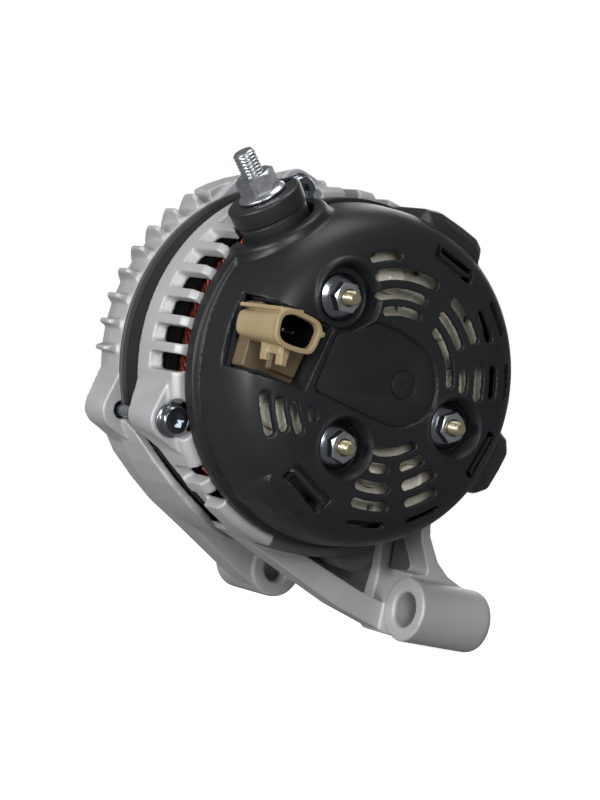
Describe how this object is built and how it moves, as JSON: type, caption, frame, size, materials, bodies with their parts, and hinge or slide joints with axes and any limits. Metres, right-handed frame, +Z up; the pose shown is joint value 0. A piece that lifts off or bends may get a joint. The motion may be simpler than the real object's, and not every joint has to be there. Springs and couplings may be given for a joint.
{
  "type": "car alternator",
  "caption": "Belt-driven claw-pole car alternator with bolted cast housings, a moulded rear cover, an output stud and a plug socket.",
  "frame": {"origin": "centre of the shaft's front end face, in front of the pulley nut", "axes": "+Y along the shaft from the rear cover to the pulley, +Z up as the part is shown, +X to the right seen from the rear cover, parallel to the bore of the rear lug"},
  "size_m": [0.158, 0.171, 0.1617],
  "materials": {
    "cast_aluminium": "as cast, fine shot-blasted grain",
    "cover_plastic": "moulded, soft sheen",
    "black_plastic": "moulded",
    "tan_plastic": "moulded, satin",
    "zinc_plated_steel": "bright zinc plate",
    "yellow_zinc_steel": "yellowish zinc plate",
    "copper_alloy": "bright",
    "enamelled_copper": "glossy red-brown enamel",
    "painted_laminations": "thin charcoal coating",
    "rotor_iron": "dark forged iron",
    "heat_sink": "warm grey plated sheet",
    "diode_can": "cream plated",
    "carbon": "pressed carbon",
    "machined_steel": "turned or pressed"
  },
  "bodies": {
    "frame": {"rear_cover": "cover_plastic", "cover_stud_1": "yellow_zinc_steel", "cover_stud_2": "yellow_zinc_steel", "cover_stud_3": "yellow_zinc_steel", "cover_nut_1": "zinc_plated_steel", "cover_nut_2": "zinc_plated_steel", "cover_nut_3": "zinc_plated_steel", "b_plus_stud": "zinc_plated_steel", "b_plus_nut": "zinc_plated_steel", "b_plus_insulator": "black_plastic", "regulator": "tan_plastic", "connector_pin_1": "copper_alloy", "connector_pin_2": "copper_alloy", "connector_pin_3": "copper_alloy", "brush_holder": "black_plastic", "rectifier_plate_positive": "heat_sink", "rectifier_plate_negative": "heat_sink", "diode_1": "diode_can", "diode_2": "diode_can", "diode_3": "diode_can", "diode_4": "diode_can", "diode_5": "diode_can", "diode_6": "diode_can", "rear_housing": "cast_aluminium", "stator_core": "painted_laminations", "stator_winding": "enamelled_copper", "front_housing": "cast_aluminium", "through_bolt_1": "zinc_plated_steel", "through_bolt_2": "zinc_plated_steel", "through_bolt_3": "zinc_plated_steel", "through_bolt_4": "zinc_plated_steel", "rear_bearing_outer": "machined_steel", "front_bearing_outer": "machined_steel", "bearing_retainer": "zinc_plated_steel"},
    "rotor": {"shaft": "machined_steel", "slip_ring_1": "copper_alloy", "slip_ring_2": "copper_alloy", "pole_rear": "rotor_iron", "pole_front": "rotor_iron", "field_coil": "enamelled_copper", "coil_core": "rotor_iron", "fan_rear": "machined_steel", "fan_front": "machined_steel", "rear_bearing_inner": "machined_steel", "front_bearing_inner": "machined_steel", "spacer": "machined_steel", "pulley": "machined_steel", "pulley_nut": "zinc_plated_steel"},
    "brush_1": {"brush_1": "carbon", "brush_spring_1": "machined_steel"},
    "brush_2": {"brush_2": "carbon", "brush_spring_2": "machined_steel"}
  },
  "joints": [
    {"name": "rotor_spin", "type": "hinge", "parent": "frame", "child": "rotor", "pos_m": [0, 0, 0], "axis": [0, 1, 0], "continuous": true},
    {"name": "brush_1_slide", "type": "slide", "parent": "frame", "child": "brush_1", "axis": [-1, 0, 0], "range_m": [0, 0.0035], "stiffness_N_per_m": 300},
    {"name": "brush_2_slide", "type": "slide", "parent": "frame", "child": "brush_2", "axis": [-1, 0, 0], "range_m": [0, 0.0035], "stiffness_N_per_m": 300}
  ]
}
